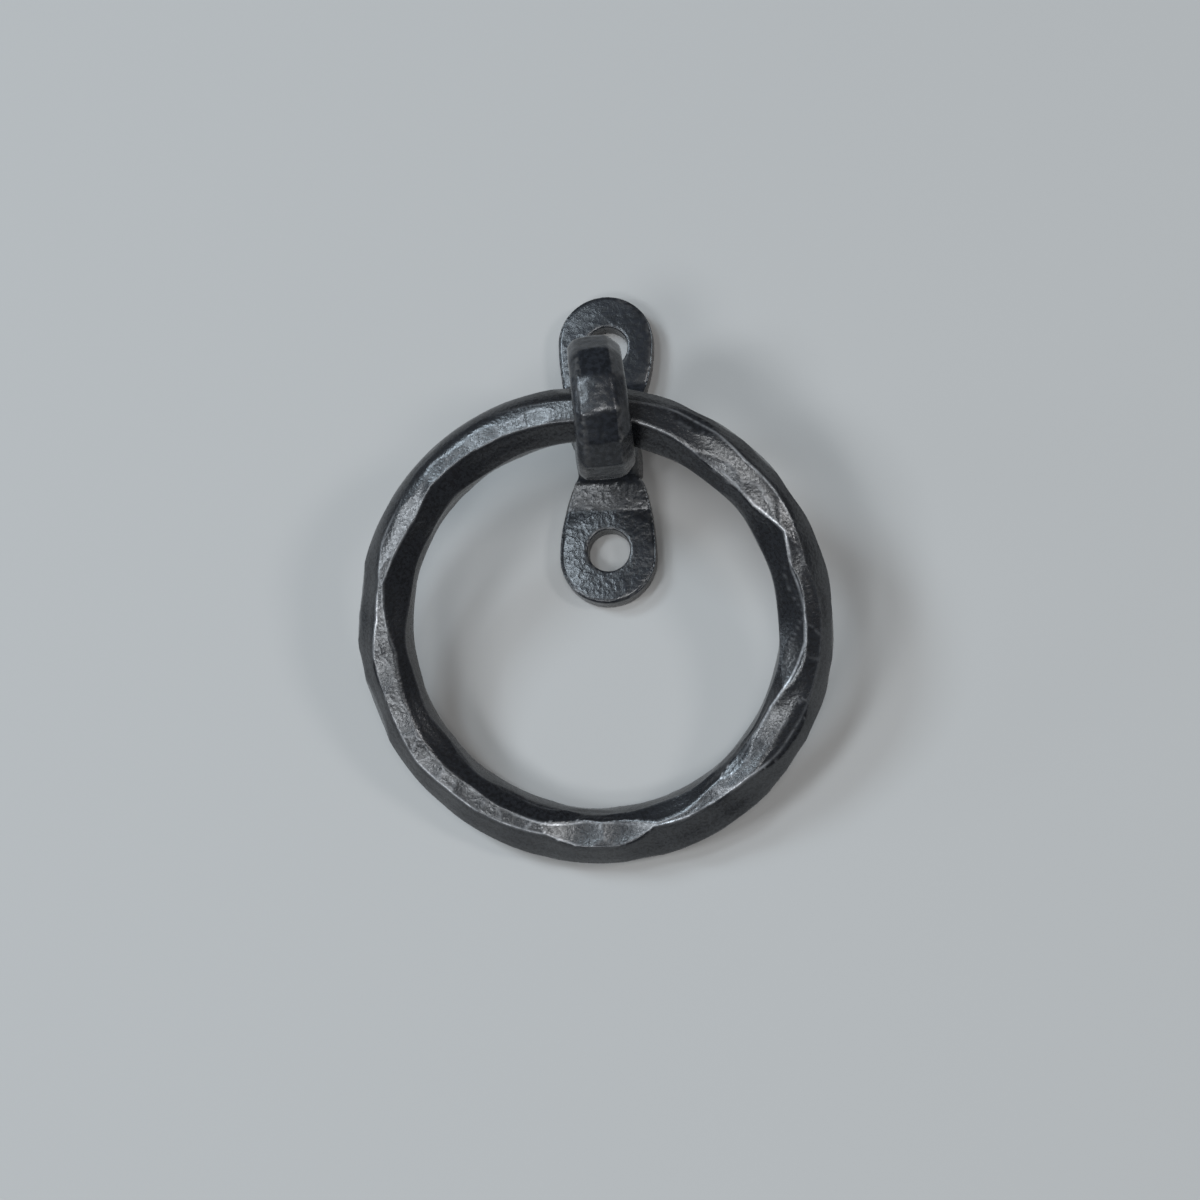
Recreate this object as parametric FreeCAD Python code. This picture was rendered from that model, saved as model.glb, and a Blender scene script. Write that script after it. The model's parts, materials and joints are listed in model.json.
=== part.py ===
import FreeCAD, Part

import math
import os

from FreeCAD import Vector

# A forged ring pull handle: a ring of hammered round bar that hangs in a closed eye.
# The eye and its two drilled ears are one bar, folded over the ring and screwed down.
#
# Frame: the origin lies midway between the two screw holes, on the back face of the ears.
# +Z leaves the surface that the handle is screwed to, +Y points to the upper ear, and the
# ring lies down towards -Y with its far side on that surface.

# Ring, millimetres and degrees
ring_outer_diameter = 76.2
bar_radius = 4.65
ridge_swing = 7.5
ring_stations = 72

# Eye, the closed loop round the bar of the ring; its hammered corners run out at the feet.
# The strap gets a little narrower towards the eye's back and towards its crown
bar_clearance = 2.2
strap_thickness = 4.65
strap_width = 9.05
back_taper = 0.04
crown_taper = 0.02
eye_yaw = 6.0
eye_lean = 5.3
eye_offset = 0.25
right_chamfer = 2.0
left_chamfer = 1.3
corner_runout = 0.4

# Legs, where the two halves of the strap come together and turn out into the ears
leg_gap = 0.3
leg_length = 6.5
root_radius = 3.5
blend_radius = 3.0
underside_bend_radius = 2.5
slope_angle = 20.0

# Ears; each foot is shifted sideways to stand under its own leg of the twisted eye
screw_hole_spacing = 34.8
screw_hole_diameter = 7.0
ear_thickness = 3.7
ear_width = 15.8
ear_offset = 0.2
ear_end_reach = 8.9
crease_distance = 10.6
shoulder_distance = 7.0
shoulder_width = 11.8
foot_width = 10.4
foot_top_width = 9.6
foot_shift = 0.5
ear_edge_chamfer = 0.35

# How the ring lies: slid down and forward in the eye, and swung a little to the left
ring_drop = 0.5
ring_slide = 1.1
ring_yaw = 5.0

# Where the two top ridges lie round the bar, in degrees from the outer side of the ring,
# every ten degrees along the ring, counted from the right-hand side
outer_ridge = [42, 55, 66, 35, 48, 68, 50, 48, 55, 60, 55, 50,
               40, 42, 38, 58, 60, 68, 62, 56, 63, 62, 64, 70,
               59, 65, 78, 64, 70, 91, 92, 86, 77, 68, 60, 40]
inner_ridge = [86, 93, 98, 90, 106, 108, 106, 93, 95, 100, 98, 96,
               92, 90, 85, 102, 106, 112, 106, 112, 108, 110, 118, 112,
               116, 112, 112, 130, 124, 118, 124, 126, 128, 135, 118, 88]

# The other six ridges swing about these angles
side_ridges = [152.0, 197.0, 240.0, 285.0, 330.0, 372.0]

# Corners of the hammered flats round the eye, in degrees from its crown to the ring's side
eye_corners = [-120.0, -87.0, -58.0, -35.0, -10.0, 20.0, 44.0, 70.0, 96.0, 121.0]

# Sizes that follow from the ones above
mean_radius = ring_outer_diameter / 2 - bar_radius
bore_radius = bar_radius + bar_clearance
eye_radius = bore_radius + strap_thickness
neck_half = strap_thickness + leg_gap / 2
hole_y = screw_hole_spacing / 2
ear_end_y = hole_y + ear_end_reach

# The inside bend between an ear's slope and its leg, in the side view
slope = math.radians(slope_angle)
root_y = neck_half + root_radius
slope_height = ear_thickness + (crease_distance - root_y) * math.tan(slope)
leg_foot_height = slope_height + root_radius / math.cos(slope)

# The hollow bend between a leg and the eye, and the eye's height before it is leant over
blend_y = neck_half + blend_radius
blend_height = leg_foot_height + leg_length
blend_rise = math.sqrt((eye_radius + blend_radius) ** 2 - blend_y ** 2)
eye_height = blend_height + blend_rise

# The leaning eye's centre, and the middle of the bar where it hangs in the eye
lean = math.radians(eye_lean)
eye_x = (eye_height - leg_foot_height) * math.sin(lean) - eye_offset
eye_z = leg_foot_height + (eye_height - leg_foot_height) * math.cos(lean)
hinge = Vector(eye_x, -ring_slide, eye_z - ring_drop)
ring_tilt = math.degrees(math.asin((hinge.z - bar_radius) / (2 * mean_radius)))


def ridge_angle(readings, station):
    """Angle of a hand-read ridge at one station, between its two nearest readings."""
    spot = station * len(readings) / ring_stations
    before = math.floor(spot)
    share = spot - before
    after = (before + 1) % len(readings)
    return readings[before] * (1 - share) + readings[after] * share


def bar_section(station):
    """Corners of the hammered bar, cut across at one station."""
    turn = 2 * math.pi * station / ring_stations
    angles = [ridge_angle(outer_ridge, station), ridge_angle(inner_ridge, station)]
    for row, middle in enumerate(side_ridges):
        long_wave = math.sin((7 + row) * turn + 1.3 * row)
        short_wave = math.sin((15 + 2 * row) * turn + 2.1 * row)
        angles.append(middle + ridge_swing * (long_wave + short_wave) / 2)
    out = Vector(math.cos(turn), math.sin(turn), 0)
    corners = []
    for angle in angles:
        a = math.radians(angle)
        reach = mean_radius + bar_radius * math.cos(a)
        corners.append(out * reach + Vector(0, 0, bar_radius * math.sin(a)))
    return corners


def flat(first, second, third):
    """One three-cornered flat of the hammered surface."""
    return Part.Face(Part.makePolygon([first, second, third, first]))


def pull_ring():
    """Ring of round bar, welded shut and hammered into long flats with wandering ridges."""
    flats = []
    for station in range(ring_stations):
        here = bar_section(station)
        there = bar_section((station + 1) % ring_stations)
        for row in range(len(here)):
            after = (row + 1) % len(here)
            flats.append(flat(here[row], there[row], there[after]))
            flats.append(flat(here[row], there[after], here[after]))
    skin = Part.makeShell(flats)
    skin.sewShape()
    ring = Part.makeSolid(skin)
    ring.translate(Vector(0, -mean_radius, 0))
    ring.rotate(Vector(0, 0, 0), Vector(1, 0, 0), ring_tilt)
    ring.rotate(Vector(0, 0, 0), Vector(0, 0, 1), -ring_yaw)
    ring.translate(hinge)
    return ring


def arc(start, middle, end):
    return Part.Arc(start, middle, end).toShape()


def line(start, end):
    return Part.LineSegment(start, end).toShape()


def point_on(centre, radius, angle):
    """Point on a circle in the side view, by its angle from the +Y direction."""
    a = math.radians(angle)
    return centre + Vector(0, radius * math.cos(a), radius * math.sin(a))


def foot_side_view():
    """Closed outline of one half of the feet: ear, slope and bend, up to the leg."""
    root = Vector(0, root_y, leg_foot_height)
    tip_back = Vector(0, ear_end_y, 0)
    tip_front = Vector(0, ear_end_y, ear_thickness)
    crease = Vector(0, crease_distance, ear_thickness)
    slope_end = point_on(root, root_radius, 270 - slope_angle)
    root_middle = point_on(root, root_radius, 225 - slope_angle / 2)
    leg_foot = point_on(root, root_radius, 180)
    middle_top = Vector(0, 0, leg_foot.z)
    middle_back = Vector(0, 0, 0)
    return Part.Wire([
        line(middle_back, tip_back),
        line(tip_back, tip_front),
        line(tip_front, crease),
        line(crease, slope_end),
        arc(slope_end, root_middle, leg_foot),
        line(leg_foot, middle_top),
        line(middle_top, middle_back),
    ])


def ear_plan(shift):
    """Closed plan outline of one ear and the foot of its leg, with the foot shifted sideways."""
    half = ear_width / 2
    round_centre = ear_end_y - (half ** 2 + ear_end_reach ** 2) / (2 * ear_end_reach)
    run = round_centre - shoulder_distance
    tip = Vector(0, ear_end_y, 0)
    edges = []
    for side in (1, -1):
        foot_side = side * foot_width / 2 + shift
        middle = Vector(foot_side, 0, 0)
        leg_side = Vector(foot_side, neck_half - corner_runout, 0)
        leg_face = Vector(foot_side - side * corner_runout, neck_half, 0)
        shoulder = Vector(side * shoulder_width / 2 + shift, shoulder_distance, 0)
        taper = half - side * shoulder.x
        flank_radius = (taper ** 2 + run ** 2) / (2 * taper)
        bend = math.asin(run / flank_radius) / 2
        flank_x = half - flank_radius * (1 - math.cos(bend))
        flank = Vector(side * flank_x, round_centre - flank_radius * math.sin(bend), 0)
        widest = Vector(side * half, round_centre, 0)
        edges.append(line(middle, leg_side))
        edges.append(line(leg_side, leg_face))
        edges.append(line(leg_face, shoulder))
        edges.append(arc(shoulder, flank, widest))
    right_widest = Vector(half, round_centre, 0)
    left_widest = Vector(-half, round_centre, 0)
    edges.append(arc(right_widest, tip, left_widest))
    right_middle = Vector(foot_width / 2 + shift, 0, 0)
    left_middle = Vector(-foot_width / 2 + shift, 0, 0)
    edges.append(line(left_middle, right_middle))
    return Part.Wire(Part.__sortEdges__(edges))


def foot_end_view():
    """Closed outline seen along the ears: the foot narrows upwards to the width of the legs."""
    corners = [
        Vector(ear_width, 0, 0),
        Vector(ear_width, 0, ear_thickness),
        Vector(ear_width / 2 + 1, 0, ear_thickness + 0.5),
        Vector(foot_top_width / 2, 0, leg_foot_height),
    ]
    mirrored = [Vector(-corner.x, 0, corner.z) for corner in reversed(corners)]
    return Part.makePolygon(corners + mirrored + [corners[0]])


def ear(shift):
    """Upper ear with its bend and half of the leg's foot, drilled, its upper edge broken."""
    reach = 2 * ear_width
    side_view = Part.Face(foot_side_view()).extrude(Vector(reach, 0, 0))
    side_view.translate(Vector(-reach / 2, 0, 0))
    plan = Part.Face(ear_plan(shift)).extrude(Vector(0, 0, ear_thickness + 4 * root_radius))
    narrowing = Part.Face(foot_end_view()).extrude(Vector(0, ear_end_y, 0))
    narrowing.translate(Vector(shift, 0, 0))
    solid = side_view.common(plan).common(narrowing)
    worked = []
    for edge in solid.Edges:
        box = edge.BoundBox
        if abs(box.ZMin - ear_thickness) < 0.01 and box.ZLength < 0.01 and box.YLength > 0.1:
            worked.append(edge)
    solid = solid.makeChamfer(ear_edge_chamfer, worked)
    solid.translate(Vector(-ear_offset, 0, 0))
    radius = screw_hole_diameter / 2
    hole = Part.makeCylinder(radius, 3 * ear_thickness, Vector(0, hole_y, -ear_thickness))
    return solid.cut(hole)


def loop_section(side, inset, shrink):
    """Side view of eye and legs on one slanting plane: inset from the strap's side, and shrunk."""
    blend = Vector(0, blend_y, blend_height)
    eye_turn = math.degrees(math.atan2(blend_rise, -blend_y))
    upper = []
    for step in range(4):
        spot = point_on(blend, blend_radius, 180 + (eye_turn - 180) * step / 3)
        upper.append(spot - Vector(0, shrink, 0))
    leg_foot = Vector(0, neck_half - min(shrink, corner_runout), leg_foot_height - root_radius / 2)
    outline = [leg_foot] + upper
    radius = eye_radius - shrink
    for corner in eye_corners:
        a = math.radians(corner)
        outline.append(Vector(0, -radius * math.sin(a), eye_height + radius * math.cos(a)))
    for spot in reversed([leg_foot] + upper):
        outline.append(Vector(0, -spot.y, spot.z))
    points = []
    for spot in outline:
        side_inset = inset
        if spot.z == leg_foot.z:
            side_inset = min(inset, corner_runout)
        half = (strap_width - back_taper * spot.y - crown_taper * (spot.z - eye_height)) / 2
        points.append(Vector(side * (half - side_inset), spot.y, spot.z))
    return Part.makePolygon(points + [points[0]])


def loop():
    """Eye and legs: flats round the outside, corners hammered off, a little twisted."""
    solid = Part.makeLoft([
        loop_section(-1, 0, left_chamfer),
        loop_section(-1, left_chamfer, 0),
        loop_section(1, right_chamfer, 0),
        loop_section(1, 0, right_chamfer),
    ], True, True)
    solid.rotate(Vector(0, 0, 0), Vector(0, 0, 1), eye_yaw)
    solid.rotate(Vector(0, 0, leg_foot_height), Vector(0, 1, 0), eye_lean)
    solid.translate(Vector(-eye_offset, 0, 0))
    return solid


def eye_bracket():
    """Bar folded round the ring: ears, legs and the closed eye, all one piece."""
    upper = ear(-foot_shift)
    lower = ear(foot_shift).mirror(Vector(0, 0, 0), Vector(0, 1, 0))
    solid = loop().multiFuse([upper, lower]).removeSplitter()
    wide = 2 * ear_width
    bore = Part.makeCylinder(bore_radius, wide, Vector(-wide / 2, 0, 0), Vector(1, 0, 0))
    bore.rotate(Vector(0, 0, 0), Vector(0, 0, 1), -ring_yaw)
    bore.translate(Vector(eye_x, 0, eye_z))
    gap = Part.makeBox(wide, leg_gap, eye_height, Vector(-wide / 2, -leg_gap / 2, 0))
    half_notch = leg_gap / 2 + underside_bend_radius
    notch = Part.makeBox(wide, 2 * half_notch, underside_bend_radius, Vector(-wide / 2, -half_notch, 0))
    for side in (1, -1):
        centre = Vector(-wide / 2, side * half_notch, underside_bend_radius)
        notch = notch.cut(Part.makeCylinder(underside_bend_radius, wide, centre, Vector(1, 0, 0)))
    return solid.cut(bore).cut(gap).cut(notch)


os.makedirs("parts", exist_ok=True)
for name, piece in (("eye_bracket", eye_bracket()), ("pull_ring", pull_ring())):
    solid = piece.Solids[0]
    solid.exportStep("parts/" + name + ".step")
    print(name, solid.isValid(), len(piece.Solids), len(solid.Faces), round(solid.Volume, 1))
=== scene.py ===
import json
import math

import bmesh
import bpy
import numpy as np
from mathutils import Matrix, Vector, noise


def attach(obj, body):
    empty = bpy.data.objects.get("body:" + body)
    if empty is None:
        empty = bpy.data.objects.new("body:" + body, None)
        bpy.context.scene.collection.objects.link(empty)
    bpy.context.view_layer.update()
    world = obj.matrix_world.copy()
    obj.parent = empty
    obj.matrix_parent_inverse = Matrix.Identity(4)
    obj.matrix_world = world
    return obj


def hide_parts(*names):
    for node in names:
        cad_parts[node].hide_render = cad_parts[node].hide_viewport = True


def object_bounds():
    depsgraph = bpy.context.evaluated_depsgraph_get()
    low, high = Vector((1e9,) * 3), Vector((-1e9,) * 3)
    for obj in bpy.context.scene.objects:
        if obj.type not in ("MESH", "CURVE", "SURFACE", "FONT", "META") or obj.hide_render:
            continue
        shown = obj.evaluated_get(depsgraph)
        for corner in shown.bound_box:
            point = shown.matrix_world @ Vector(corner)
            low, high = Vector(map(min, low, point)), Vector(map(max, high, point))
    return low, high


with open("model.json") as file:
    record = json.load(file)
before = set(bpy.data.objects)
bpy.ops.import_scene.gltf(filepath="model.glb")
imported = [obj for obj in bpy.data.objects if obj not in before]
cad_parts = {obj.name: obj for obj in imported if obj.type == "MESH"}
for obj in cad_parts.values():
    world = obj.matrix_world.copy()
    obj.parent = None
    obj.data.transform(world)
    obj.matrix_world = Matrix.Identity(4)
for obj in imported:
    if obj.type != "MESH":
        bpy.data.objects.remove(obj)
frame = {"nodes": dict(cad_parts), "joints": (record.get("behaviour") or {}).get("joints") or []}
cad_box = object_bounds()

# Pull ring. A ring of round steel bar, about 9 mm thick, welded shut and hammered all over while
# hot, so that long flats run along it and meet in wandering ridges. The scale was waxed black, and
# hands have rubbed the ridges bright; the light grey on the ridges is partly painted highlight,
# placed where the ridge lines catch the light. It hangs loose in the eye of the bracket.
ring_outer_diameter = 0.0762
bar_radius = 0.00465
mean_radius = ring_outer_diameter / 2 - bar_radius
ring_yaw = math.radians(5)

# Where the two top ridges lie round the bar, in degrees from its outer side, every ten degrees
outer_ridge = [55, 55, 66, 58, 52, 56, 45, 42, 50, 60, 55, 50,
               40, 42, 38, 58, 62, 80, 84, 72, 76, 74, 69, 79,
               80, 86, 92, 78, 78, 104, 97, 96, 88, 68, 60, 58]
inner_ridge = [88, 88, 97, 80, 104, 106, 106, 95, 90, 100, 98, 96,
               92, 90, 88, 102, 96, 88, 100, 119, 114, 106, 103, 110,
               112, 110, 112, 130, 126, 108, 107, 124, 128, 136, 130, 108]

# How far hands have rubbed each of the two bright, at the same places. The same numbers also put
# painted highlight lines on the ridges where they catch the light.
outer_wear_and_highlight = [0.1, 0.1, 0.1, 0.1, 0.5, 0.8, 0.3, 0.3, 0.2, 0.1, 0.1, 0.1,
               0.0, 0.0, 0.1, 0.1, 0.4, 0.9, 0.8, 0.5, 0.5, 0.4, 0.5, 0.7,
               0.7, 0.6, 0.5, 0.4, 0.5, 1.0, 1.0, 1.0, 1.0, 0.4, 0.1, 0.1]
inner_wear_and_highlight = [1.0, 1.0, 1.0, 1.0, 1.0, 0.3, 0.3, 0.5, 1.0, 0.2, 0.2, 0.2,
               0.2, 0.2, 0.2, 0.2, 0.6, 0.6, 0.2, 0.1, 0.1, 0.1, 0.1, 0.1,
               0.1, 0.3, 0.8, 0.6, 0.5, 0.4, 0.1, 0.1, 0.1, 1.0, 1.0, 1.0]

# The ridges on the sides and underneath: degrees round the bar, how far they swing about that,
# how bright they are rubbed and how blunt they are
side_ridges = [152, 197, 240, 285, 330, 372]
ridge_swing = 7.5
side_shine = 0.1
side_blunt = 0.8

# Blows that show on the top: degrees along the ring, degrees round the bar, depth and radius in
# millimetres of the hollow that the hammer left, and how bright its rim is rubbed
top_blows = [
    (66, 56, 0.14, 45, 0.1), (53, 94, 0.15, 30, 0.3), (42, 84, 0.09, 28, 0.2),
    (33, 62, 0.12, 36, 0.2), (22, 80, 0.13, 32, 0.2), (14, 112, 0.11, 34, 0.3),
    (-1, 113, 0.17, 34, 0.2), (-1, 71, 0.14, 42, 0.1), (-24, 80, 0.20, 50, 0.2),
    (-38, 124, 0.18, 30, 0.8), (-50, 104, 0.14, 30, 0.3), (-79, 104, 0.25, 30, 0.9),
    (-91, 104, 0.25, 30, 0.9), (-110, 98, 0.10, 34, 0.3), (-124, 95, 0.12, 30, 0.2),
    (-139, 88, 0.17, 28, 0.3), (-152, 88, 0.15, 32, 0.2), (-166, 88, 0.12, 30, 0.2),
    (-178, 92, 0.10, 34, 0.2), (166, 86, 0.09, 32, 0.3), (150, 80, 0.13, 36, 0.2),
    (136, 72, 0.10, 32, 0.2), (121, 76, 0.10, 36, 0.2), (106, 76, 0.10, 36, 0.2),
]

ring_stations = 720
turn = np.arange(ring_stations) * 2 * math.pi / ring_stations


def every_station(readings):
    """Value at each station, from one reading in every ten degrees."""
    ends = np.append(readings, readings[0])
    return np.interp(turn, np.linspace(0, 2 * math.pi, len(ends)), ends)


ridges = [every_station(outer_ridge), every_station(inner_ridge)]
for row, middle in enumerate(side_ridges):
    long_waves = np.sin((7 + row) * turn + 1.3 * row)
    short_waves = np.sin((15 + 2 * row) * turn + 2.1 * row)
    ridges.append(middle + ridge_swing * (long_waves + short_waves) / 2)
ridges.append(ridges[0] + 360)
ridges = np.radians(np.array(ridges))
ridge_wear_and_highlight = [every_station(outer_wear_and_highlight), every_station(inner_wear_and_highlight)]
blunts = [1 - ridge_wear_and_highlight[0], 0 * turn] + [side_blunt + 0 * turn] * len(side_ridges) + [1 - ridge_wear_and_highlight[0]]
ridge_wear_and_highlight += [side_shine + 0 * turn] * len(side_ridges) + [ridge_wear_and_highlight[0]]

# Rows of the skin lie on the ridges, and closer together beside them than across the flats. The
# flats are a little hollow, and a blunt ridge is lower and wider than a crisp one.
shares = np.array([0, 0.03, 0.08, 0.16, 0.27, 0.39, 0.5, 0.61, 0.73, 0.84, 0.92, 0.97])
flat_hollow = 0.00007
crisp_drop, blunt_drop = 0.00006, 0.00013
crisp_width, blunt_width = 0.00022, 0.0009
# Half-width of the bright line along a ridge: rubbed steel, and partly a painted highlight line
wear_and_highlight_width = 0.00016
around = []
reach = []
wear = []
for flat in range(len(ridges) - 1):
    low, high = ridges[flat], ridges[flat + 1]
    flat_distance = bar_radius * np.cos((high - low) / 2)
    for share in shares:
        angle = low + (high - low) * share
        hollow = flat_hollow * math.sin(math.pi * share) ** 2
        to_ridge = min(share, 1 - share) * (high - low) * bar_radius
        nearer = flat if share < 0.5 else flat + 1
        drop = crisp_drop + blunt_drop * blunts[nearer]
        width = crisp_width + blunt_width * blunts[nearer]
        softened = drop * np.exp(-(to_ridge / width) ** 2)
        around.append(angle)
        reach.append(flat_distance / np.cos(angle - (low + high) / 2) - hollow - softened)
        wear.append(np.exp(-(to_ridge / wear_and_highlight_width) ** 2) * ridge_wear_and_highlight[nearer])
around = np.array(around).T
reach = np.array(reach).T
wear = np.array(wear).T
rows = around.shape[1]

# At the back left the outer side of the bar stayed round. All angles are in degrees.
round_middle, round_half_length = 132, 44
outside_start, outside_fade = 300, 40
top_fade = 0.45
round_reach = 0.962 * bar_radius
from_round_middle = np.abs(np.degrees(turn) - round_middle) / round_half_length
round_there = (1 - np.minimum(from_round_middle, 1) ** 2)[:, None] ** 2
top_share = (around - ridges[0][:, None]) / (ridges[1] - ridges[0])[:, None]
before_inner_ridge = around < ridges[1][:, None]
on_top = np.where(before_inner_ridge, np.clip((1 - top_share) / top_fade, 0, 1), 0)
on_outside = np.clip((np.degrees(around) - outside_start) / outside_fade, 0, 1)
reach = reach + round_there * np.maximum(on_top, on_outside) * (round_reach - reach)

# The hidden and side faces are hammered as well, without a record of each blow
dice = np.random.default_rng(7)
side_blow_count = 74
side_blow_shine = 0.03
side_blows = []
for blow in range(side_blow_count):
    along = blow * 360 / side_blow_count + dice.uniform(-3, 3)
    angle = dice.uniform(140, 395)
    depth = dice.uniform(0.08, 0.2)
    hollow_radius = dice.uniform(35, 60)
    side_blows.append((along, angle, depth, hollow_radius, side_blow_shine))

# Each blow cuts the skin back to a sphere. On the inside of the ring, which is hollow along its
# length, the sphere is smaller, so that it doesn't cut beyond the blow.
outward = np.stack([np.cos(turn), np.sin(turn), 0 * turn], -1)[:, None, :]
upward = np.array([0.0, 0.0, 1.0])
spoke = outward * np.cos(around)[..., None] + upward * np.sin(around)[..., None]
heart = outward * mean_radius
longest_cut = 0.011
rim_width = 0.00002
for along, angle, depth, hollow_radius, rim_shine in top_blows + side_blows:
    along = math.radians(along)
    angle = math.radians(angle)
    inner_curve = max(0, -math.cos(angle)) / (1000 * (mean_radius - bar_radius))
    hollow_radius = 1 / (1 / hollow_radius + inner_curve)
    station = round(along / (2 * math.pi) * ring_stations) % ring_stations
    gap = np.abs((around[station] - angle + math.pi) % (2 * math.pi) - math.pi)
    start = reach[station, gap.argmin()] - depth / 1000
    out = np.array([math.cos(along), math.sin(along), 0.0])
    facing = out * math.cos(angle) + upward * math.sin(angle)
    centre = out * mean_radius + facing * (start + hollow_radius / 1000)
    away = centre - heart
    towards = (spoke * away).sum(-1)
    inside = towards ** 2 - ((away ** 2).sum(-1) - (hollow_radius / 1000) ** 2)
    struck = towards - np.sqrt(np.maximum(inside, 0))
    near_by = ((heart - out * mean_radius) ** 2).sum(-1) < longest_cut ** 2
    faces_it = (inside > 0) & (towards > 0) & near_by
    difference = np.where(faces_it, reach - struck, -1.0)
    rim = np.exp(-(difference / rim_width) ** 2) * faces_it
    wear = np.maximum(wear, rim_shine * rim)
    reach = np.where(difference > 0, struck, reach)

# The ring hangs on the bottom of its bar in the eye and lies with its far side on the surface
hinge = Vector(frame["joints"][0]["pos_m"])
ring_tilt = math.asin((hinge.z - bar_radius) / (2 * mean_radius))
seat = (Matrix.Translation(hinge) @ Matrix.Rotation(-ring_yaw, 4, "Z")
        @ Matrix.Rotation(ring_tilt, 4, "X") @ Matrix.Translation(Vector((0, -mean_radius, 0))))
skin_waves = 0.0006
skin = []
for spot in (heart + spoke * reach[..., None]).reshape(-1, 3):
    spot = Vector(spot)
    rough = noise.noise(spot * 700) * 0.6 + noise.noise(spot * 2100) * 0.4
    skin.append(seat @ (spot * (1 + skin_waves * rough)))
faces = []
for station in range(ring_stations):
    after = (station + 1) % ring_stations
    for row in range(rows):
        next_row = (row + 1) % rows
        faces.append((station * rows + row, after * rows + row,
                      after * rows + next_row, station * rows + next_row))
ring_mesh = bpy.data.meshes.new("ring")
ring_mesh.from_pydata(skin, [], faces)
ring_mesh.shade_smooth()
# The wear attribute carries the rubbed ridges and the painted highlight lines on them
ring_wear_and_highlight = ring_mesh.attributes.new("wear", "FLOAT", "POINT")
ring_wear_and_highlight.data.foreach_set("value", wear.reshape(-1).astype(np.float32))
ring = bpy.data.objects.new("ring", ring_mesh)
bpy.context.scene.collection.objects.link(ring)


class Wire:
    """A socket of a finish, on which Python's operators add the finish's Math nodes."""

    def __init__(self, finish, socket):
        self.finish = finish
        self.socket = socket

    def maths(self, operation, *values):
        inputs = dict(enumerate(values))
        return self.finish.node("ShaderNodeMath", {"operation": operation}, inputs)

    def __add__(self, other):
        return self.maths("ADD", self, other)

    def __sub__(self, other):
        return self.maths("SUBTRACT", self, other)

    def __rsub__(self, other):
        return self.maths("SUBTRACT", other, self)

    def __mul__(self, other):
        return self.maths("MULTIPLY", self, other)

    __radd__ = __add__
    __rmul__ = __mul__


class Finish:
    """A material in the making."""

    def __init__(self, name):
        self.material = bpy.data.materials.new(name)
        self.material.use_nodes = True
        self.tree = self.material.node_tree
        self.shader = self.tree.nodes["Principled BSDF"]

    def node(self, kind, settings, inputs, output=0):
        """Adds a node of one type, sets it, feeds its sockets, and gives one of its outputs."""
        made = self.tree.nodes.new(kind)
        for name, value in settings.items():
            if name == "stops":
                ramp = made.color_ramp
                while len(ramp.elements) < len(value):
                    ramp.elements.new(0.5)
                for stop, (place, level) in zip(ramp.elements, value):
                    stop.position = place
                    stop.color = (level, level, level, 1)
            else:
                setattr(made, name, value)
        for name, value in inputs.items():
            self.feed(made.inputs[name], value)
        return Wire(self, made.outputs[output])

    def feed(self, socket, value):
        """Links a wire to a socket, or sets the socket's own value."""
        if isinstance(value, Wire):
            self.tree.links.new(value.socket, socket)
        else:
            socket.default_value = value

    def surface(self, **values):
        """Feeds sockets of the material's own shader, named with _ for each space."""
        for name, value in values.items():
            self.feed(self.shader.inputs[name.replace("_", " ")], value)

    def blend(self, factor, first, second):
        """Colour between two colours."""
        settings = {"data_type": "RGBA"}
        return self.node("ShaderNodeMix", settings, {0: factor, 6: first, 7: second}, 2)

    def grain(self, place, scale, detail, roughness=0.5):
        """Noise of a scale, in cells a metre."""
        inputs = {"Vector": place, "Scale": scale, "Detail": detail, "Roughness": roughness}
        return self.node("ShaderNodeTexNoise", {}, inputs)

    def steps(self, value, stops):
        """Grey level that a value gets from a ramp."""
        return self.node("ShaderNodeValToRGB", {"stops": stops}, {"Fac": value})


ring_finish = Finish("ring_steel")
thin_wax, thick_wax = (0.0035, 0.0038, 0.0052, 1), (0.008, 0.008, 0.0095, 1)
smooth_scale = (0.016, 0.017, 0.020, 1)
# Light grey bare steel on the rubbed ridges, which also paints highlight lines along them
bare_steel_and_highlight = (0.55, 0.55, 0.56, 1)
place = ring_finish.node("ShaderNodeTexCoord", {}, {}, "Object")
wear_and_highlight_mask = ring_finish.node("ShaderNodeAttribute", {"attribute_name": "wear"}, {}, "Fac")
patches = ring_finish.grain(place, 260, 3)
scale_spots = ring_finish.grain(place, 1900, 2)
fine_pits = ring_finish.grain(place, 3000, 1)
stretches = ring_finish.steps(ring_finish.grain(place, 130, 2), [(0.38, 0.25), (0.55, 1)])
broken = ring_finish.steps(ring_finish.grain(place, 1300, 3), [(0.33, 0.45), (0.5, 1)])
bare_and_highlight = wear_and_highlight_mask * broken * stretches
smooth_spots = ring_finish.steps(scale_spots, [(0.4, 0), (0.58, 1)])
waxed = ring_finish.blend(patches, thin_wax, thick_wax)
scaled = ring_finish.blend(smooth_spots, waxed, smooth_scale)
relief = {"Strength": 0.8, "Distance": 0.00006, "Height": scale_spots + 0.12 * fine_pits}
ring_finish.surface(Base_Color=ring_finish.blend(bare_and_highlight, scaled, bare_steel_and_highlight),
                    Metallic=0.6 * bare_and_highlight,
                    Roughness=0.28 - 0.08 * smooth_spots + 0.05 * patches,
                    Specular_IOR_Level=0.75,
                    Normal=ring_finish.node("ShaderNodeBump", {}, relief))
ring.data.materials.append(ring_finish.material)
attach(ring, "ring")
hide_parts("pull_ring")

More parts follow.
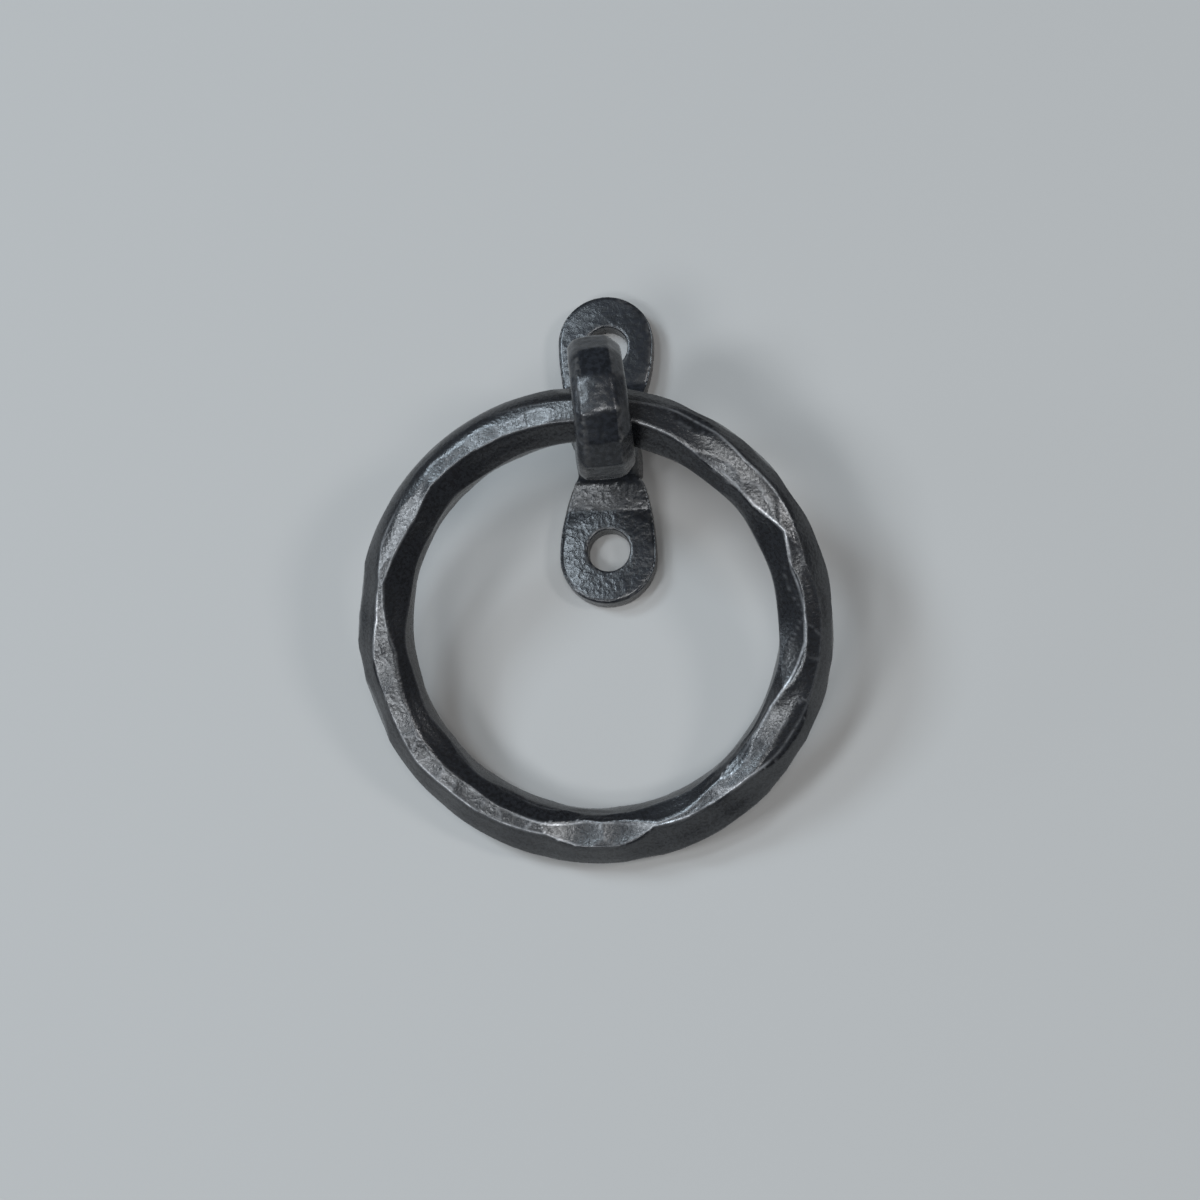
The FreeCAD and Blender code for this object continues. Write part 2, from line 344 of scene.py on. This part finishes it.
# Eye bracket. One steel bar, folded over the ring: the middle is the eye, the two legs lie against
# each other, and the ends are hammered out into flat ears with a drilled screw hole each. All its
# edges are a little worn, and the scale on it is finer and greyer than on the ring.
forging = bpy.data.objects.new("forging", frame["nodes"]["eye_bracket"].data.copy())
bpy.context.scene.collection.objects.link(forging)
weld = bmesh.new()
weld.from_mesh(forging.data)
bmesh.ops.remove_doubles(weld, verts=weld.verts, dist=1e-7)
weld.to_mesh(forging.data)
weld.free()
remesh = forging.modifiers.new("remesh", "REMESH")
remesh.mode = "VOXEL"
remesh.voxel_size = 0.00021
soften = forging.modifiers.new("soften", "SMOOTH")
soften.factor = 0.5
soften.iterations = 4
ready = forging.evaluated_get(bpy.context.evaluated_depsgraph_get())
bracket_mesh = bpy.data.meshes.new_from_object(ready)
bpy.data.objects.remove(forging)
bracket_mesh.name = "bracket"
bracket_mesh.materials.clear()

count = len(bracket_mesh.vertices)
spots = np.zeros(count * 3, np.float32)
bracket_mesh.vertices.foreach_get("co", spots)
spots = spots.reshape(-1, 3).astype(float)
pairs = np.zeros(len(bracket_mesh.edges) * 2, np.int32)
bracket_mesh.edges.foreach_get("vertices", pairs)
pairs = pairs.reshape(-1, 2)
degree = np.bincount(pairs.reshape(-1), minlength=count)[:, None]


def neighbours_mean(values):
    """Mean of a value over each vertex's neighbours."""
    total = np.zeros_like(values)
    np.add.at(total, pairs[:, 0], values[pairs[:, 1]])
    np.add.at(total, pairs[:, 1], values[pairs[:, 0]])
    return total / degree


def dressed(values, share, times):
    """Vertices moved towards their neighbours' mean, each by its own share, a number of times."""
    for step in range(times):
        values = values + share[:, None] * 0.6 * (neighbours_mean(values) - values)
    return values


# The eye and the legs were dressed smooth, so their bends and edges are rounder than the ears'
leg_half_depth = 0.0055
on_legs = np.clip((spots[:, 2] - 0.0015) / 0.002, 0, 1) * (np.abs(spots[:, 1]) < leg_half_depth)
above_legs = np.clip((spots[:, 2] - 0.010) / 0.003, 0, 1)
spots = dressed(spots, np.maximum(above_legs, on_legs), 16)

# The smith blended the neck of the eye into the broader legs
neck_heights = [0.0045, 0.0060, 0.0105, 0.0125]
neck_half_depth = 0.0062
on_neck = np.interp(spots[:, 2], neck_heights, [0, 1, 1, 0])
spots = dressed(spots, on_neck * (np.abs(spots[:, 1]) < neck_half_depth), 70)

bracket_mesh.vertices.foreach_set("co", spots.astype(np.float32).reshape(-1))
bracket_mesh.update()
normals = np.zeros(count * 3, np.float32)
bracket_mesh.vertices.foreach_get("normal", normals)
normals = normals.reshape(-1, 3).astype(float)
smooth_normals = normals
for step in range(3):
    smooth_normals = neighbours_mean(smooth_normals)

# Sharp edges are rubbed, but not the bends across the outer face of the eye
sharp_bulge = 0.000009
bulge = ((spots - neighbours_mean(spots)) * normals).sum(-1, keepdims=True)
edge_wear_and_highlight = np.clip(neighbours_mean(bulge) / sharp_bulge, 0, 1)[:, 0]
on_eye = spots[:, 2] > 0.014
eye_yaw_slope, eye_lean_slope, eye_shift, leg_top = 0.105, 0.093, 0.00035, 0.0083
across = (spots[:, 0] + eye_yaw_slope * spots[:, 1]
          - eye_lean_slope * (spots[:, 2] - leg_top) + eye_shift)
outer_face_half = 0.0024
edge_wear_and_highlight = np.where(on_eye & (np.abs(across) < outer_face_half), 0, edge_wear_and_highlight)
edge_wear_and_highlight = np.where(on_eye, 0.45, 0.25) * edge_wear_and_highlight

# A short painted highlight line, added to the wear mask, where each ear bends up into its slope,
# on the part of the crease left of crease_end
crease_distance, crease_width, crease_end = 0.0105, 0.00022, 0.0025
to_crease = (np.abs(spots[:, 1]) - crease_distance) / crease_width
crease_highlight = np.exp(-to_crease ** 2) * (normals[:, 2] > 0.7) * (spots[:, 0] < crease_end)
edge_wear_and_highlight = np.maximum(edge_wear_and_highlight, 0.35 * crease_highlight)

# Dents and waves that the hammer left, deeper on the eye, and none on the back face
dented = np.array([noise.noise(Vector(spot) * 260) + 0.4 * noise.noise(Vector(spot) * 900)
                   for spot in spots])
on_back = spots[:, 2] < 0.0004
dented = np.where(on_back, 0, dented)
eye_share = np.clip((spots[:, 2] - 0.0110) / 0.0050, 0, 1)
dent_depth = 0.00005 + 0.00004 * eye_share
spots = spots + smooth_normals * (dented * dent_depth)[:, None]

# The ears' upper faces are a little crowned from side to side, and the slopes that lead up from
# them more so
ear_crown_curve, slope_crown_curve = 11, 11
crown_middle = -0.0002
slope_end, slope_fade = 0.0126, 0.0036
from_middle = np.abs(spots[:, 1])
faces_up = (from_middle > 0.0035) & (normals[:, 2] > 0.6) & (spots[:, 2] < 0.0095)
on_slope = np.clip((slope_end - from_middle) / slope_fade, 0, 1)
crown_curve = ear_crown_curve + slope_crown_curve * on_slope
crown_drop = (spots[:, 0] - crown_middle) ** 2 / 2 * crown_curve
spots[:, 2] = np.where(faces_up, spots[:, 2] - crown_drop, spots[:, 2])

# The eye's outer faces too
eye_crown_half, eye_crown_radius = 0.0026, 0.017
eye_drop = eye_share * np.minimum(across ** 2, eye_crown_half ** 2) / (2 * eye_crown_radius)
spots = spots - eye_drop[:, None] * smooth_normals

# The two legs meet in a seam, from the underside up to the bore
seam_top, seam_width, seam_depth = 0.0200, 0.00018, 0.00035
on_side_face = (np.abs(normals[:, 0]) > 0.6) & (spots[:, 2] < seam_top)
seam_drop = seam_depth * np.exp(-(spots[:, 1] / seam_width) ** 2) * on_side_face
spots[:, 0] = spots[:, 0] - np.sign(spots[:, 0]) * seam_drop
spots = np.clip(spots, cad_box[0], cad_box[1])
bracket_mesh.vertices.foreach_set("co", spots.astype(np.float32).reshape(-1))
bracket_mesh.shade_smooth()
# The wear attribute holds the worn edges and the painted highlight line at each ear's crease
bracket_wear_and_highlight = bracket_mesh.attributes.new("wear", "FLOAT", "POINT")
bracket_wear_and_highlight.data.foreach_set("value", edge_wear_and_highlight.astype(np.float32))

# How much scale is left: the most on the lower ear, less on the upper one and least on the eye
scale_left = np.where(spots[:, 1] > 0, 0.5, 1.0)
scale_left = scale_left + eye_share * (0.4 - scale_left)
scaly = bracket_mesh.attributes.new("scaly", "FLOAT", "POINT")
scaly.data.foreach_set("value", scale_left.astype(np.float32))
bracket = bpy.data.objects.new("bracket", bracket_mesh)
bpy.context.scene.collection.objects.link(bracket)

bracket_finish = Finish("bracket_steel")
thin_scale, thick_scale = (0.006, 0.0068, 0.009, 1), (0.012, 0.0135, 0.0165, 1)
smooth_scale = (0.020, 0.022, 0.027, 1)
# Grey bare steel on the worn edges, and on the painted highlight line at each ear's crease
bare_steel_and_highlight = (0.3, 0.29, 0.28, 1)
place = bracket_finish.node("ShaderNodeTexCoord", {}, {}, "Object")
wear_and_highlight_mask = bracket_finish.node("ShaderNodeAttribute", {"attribute_name": "wear"}, {}, "Fac")
scaly = bracket_finish.node("ShaderNodeAttribute", {"attribute_name": "scaly"}, {}, "Fac")
patches = bracket_finish.grain(place, 180, 3)
scale_spots = bracket_finish.grain(place, 1350, 2, 0.45)
fine_pits = bracket_finish.grain(place, 3600, 1)
stretches = bracket_finish.steps(bracket_finish.grain(place, 210, 2), [(0.45, 0.1), (0.6, 1)])
broken = bracket_finish.steps(bracket_finish.grain(place, 1100, 3), [(0.4, 0.1), (0.6, 1)])
bare_and_highlight = wear_and_highlight_mask * broken * stretches
smooth_spots = bracket_finish.steps(scale_spots, [(0.42, 0), (0.6, 1)])
dark = bracket_finish.blend(patches, thin_scale, thick_scale)
scaled = bracket_finish.blend(smooth_spots, dark, smooth_scale)
height = scaly * (scale_spots + 0.12 * fine_pits)
relief = {"Strength": 0.8, "Distance": 0.00010, "Height": height}
bracket_finish.surface(Base_Color=bracket_finish.blend(bare_and_highlight, scaled, bare_steel_and_highlight),
                       Metallic=0.45 * bare_and_highlight,
                       Roughness=0.27 - 0.07 * smooth_spots + 0.05 * patches,
                       Specular_IOR_Level=0.6,
                       Normal=bracket_finish.node("ShaderNodeBump", {}, relief))
bracket.data.materials.append(bracket_finish.material)
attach(bracket, "bracket")
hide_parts("eye_bracket")

# Floor. A plain pale sheet that the handle lies on, and that catches its shadow.
half = 3.0
level = -0.00005
corners = [(-half, -half, level), (half, -half, level), (half, half, level), (-half, half, level)]
floor_mesh = bpy.data.meshes.new("floor")
floor_mesh.from_pydata(corners, [], [(0, 1, 2, 3)])
floor = bpy.data.objects.new("floor", floor_mesh)
bpy.context.scene.collection.objects.link(floor)
floor_finish = Finish("pale_floor")
floor_finish.surface(Base_Color=(0.48, 0.47, 0.455, 1), Roughness=0.7)
floor.data.materials.append(floor_finish.material)

# Studio light: three cool lamps high on the left, one in front of them, a large neutral one
# overhead, one on the right and a weak one low on the left. Each row: direction from the handle,
# sides in metres, watts, colour.
lamp_distance = 2.4
lamps = [
    ((-0.60, 0.33, 0.73), (0.62, 0.56), 18.0, (0.74, 0.88, 1.0)),
    ((-0.31, 0.17, 0.94), (0.50, 0.40), 10.8, (0.78, 0.90, 1.0)),
    ((-0.53, -0.20, 0.82), (0.40, 0.66), 12.4, (0.86, 0.93, 1.0)),
    ((-0.24, -0.50, 0.83), (0.54, 0.40), 8.5, (0.92, 0.96, 1.0)),
    ((0.13, -0.12, 0.98), (0.66, 0.54), 10.4, (0.96, 0.98, 1.0)),
    ((0.66, 0.02, 0.75), (0.42, 0.42), 8.0, (0.98, 0.98, 1.0)),
    ((-0.93, 0.03, 0.33), (0.54, 0.42), 2.2, (0.78, 0.89, 1.0)),
]
for number, (direction, sides, watts, tint) in enumerate(lamps):
    lamp = bpy.data.lights.new("lamp" + str(number), "AREA")
    lamp.shape = "RECTANGLE"
    lamp.size, lamp.size_y = sides
    lamp.energy = watts
    lamp.color = tint
    stand = bpy.data.objects.new(lamp.name, lamp)
    towards = Vector(direction).normalized()
    stand.location = towards * lamp_distance
    stand.rotation_euler = towards.to_track_quat("Z", "Y").to_euler()
    bpy.context.scene.collection.objects.link(stand)
world = bpy.data.worlds.new("studio")
world.use_nodes = True
sky = world.node_tree.nodes["Background"]
sky.inputs["Color"].default_value = (0.85, 0.88, 0.92, 1)
sky.inputs["Strength"].default_value = 0.07
bpy.context.scene.world = world

# Camera: looks down on the handle from in front, a little from the right. Angles in radians.
camera_place = Vector((0.04210, -0.10818, 0.38385))
camera_tilt, camera_turn, camera_roll = 0.2136, 0.1117, -0.0345
lens = bpy.data.cameras.new("camera")
lens.sensor_width = 36
lens.lens = 72
camera = bpy.data.objects.new("camera", lens)
camera.matrix_world = (Matrix.Translation(camera_place) @ Matrix.Rotation(camera_tilt, 4, "X")
                       @ Matrix.Rotation(camera_turn, 4, "Y")
                       @ Matrix.Rotation(camera_roll, 4, "Z"))
bpy.context.scene.collection.objects.link(camera)
bpy.context.scene.camera = camera
bpy.context.scene.view_settings.view_transform = "Standard"
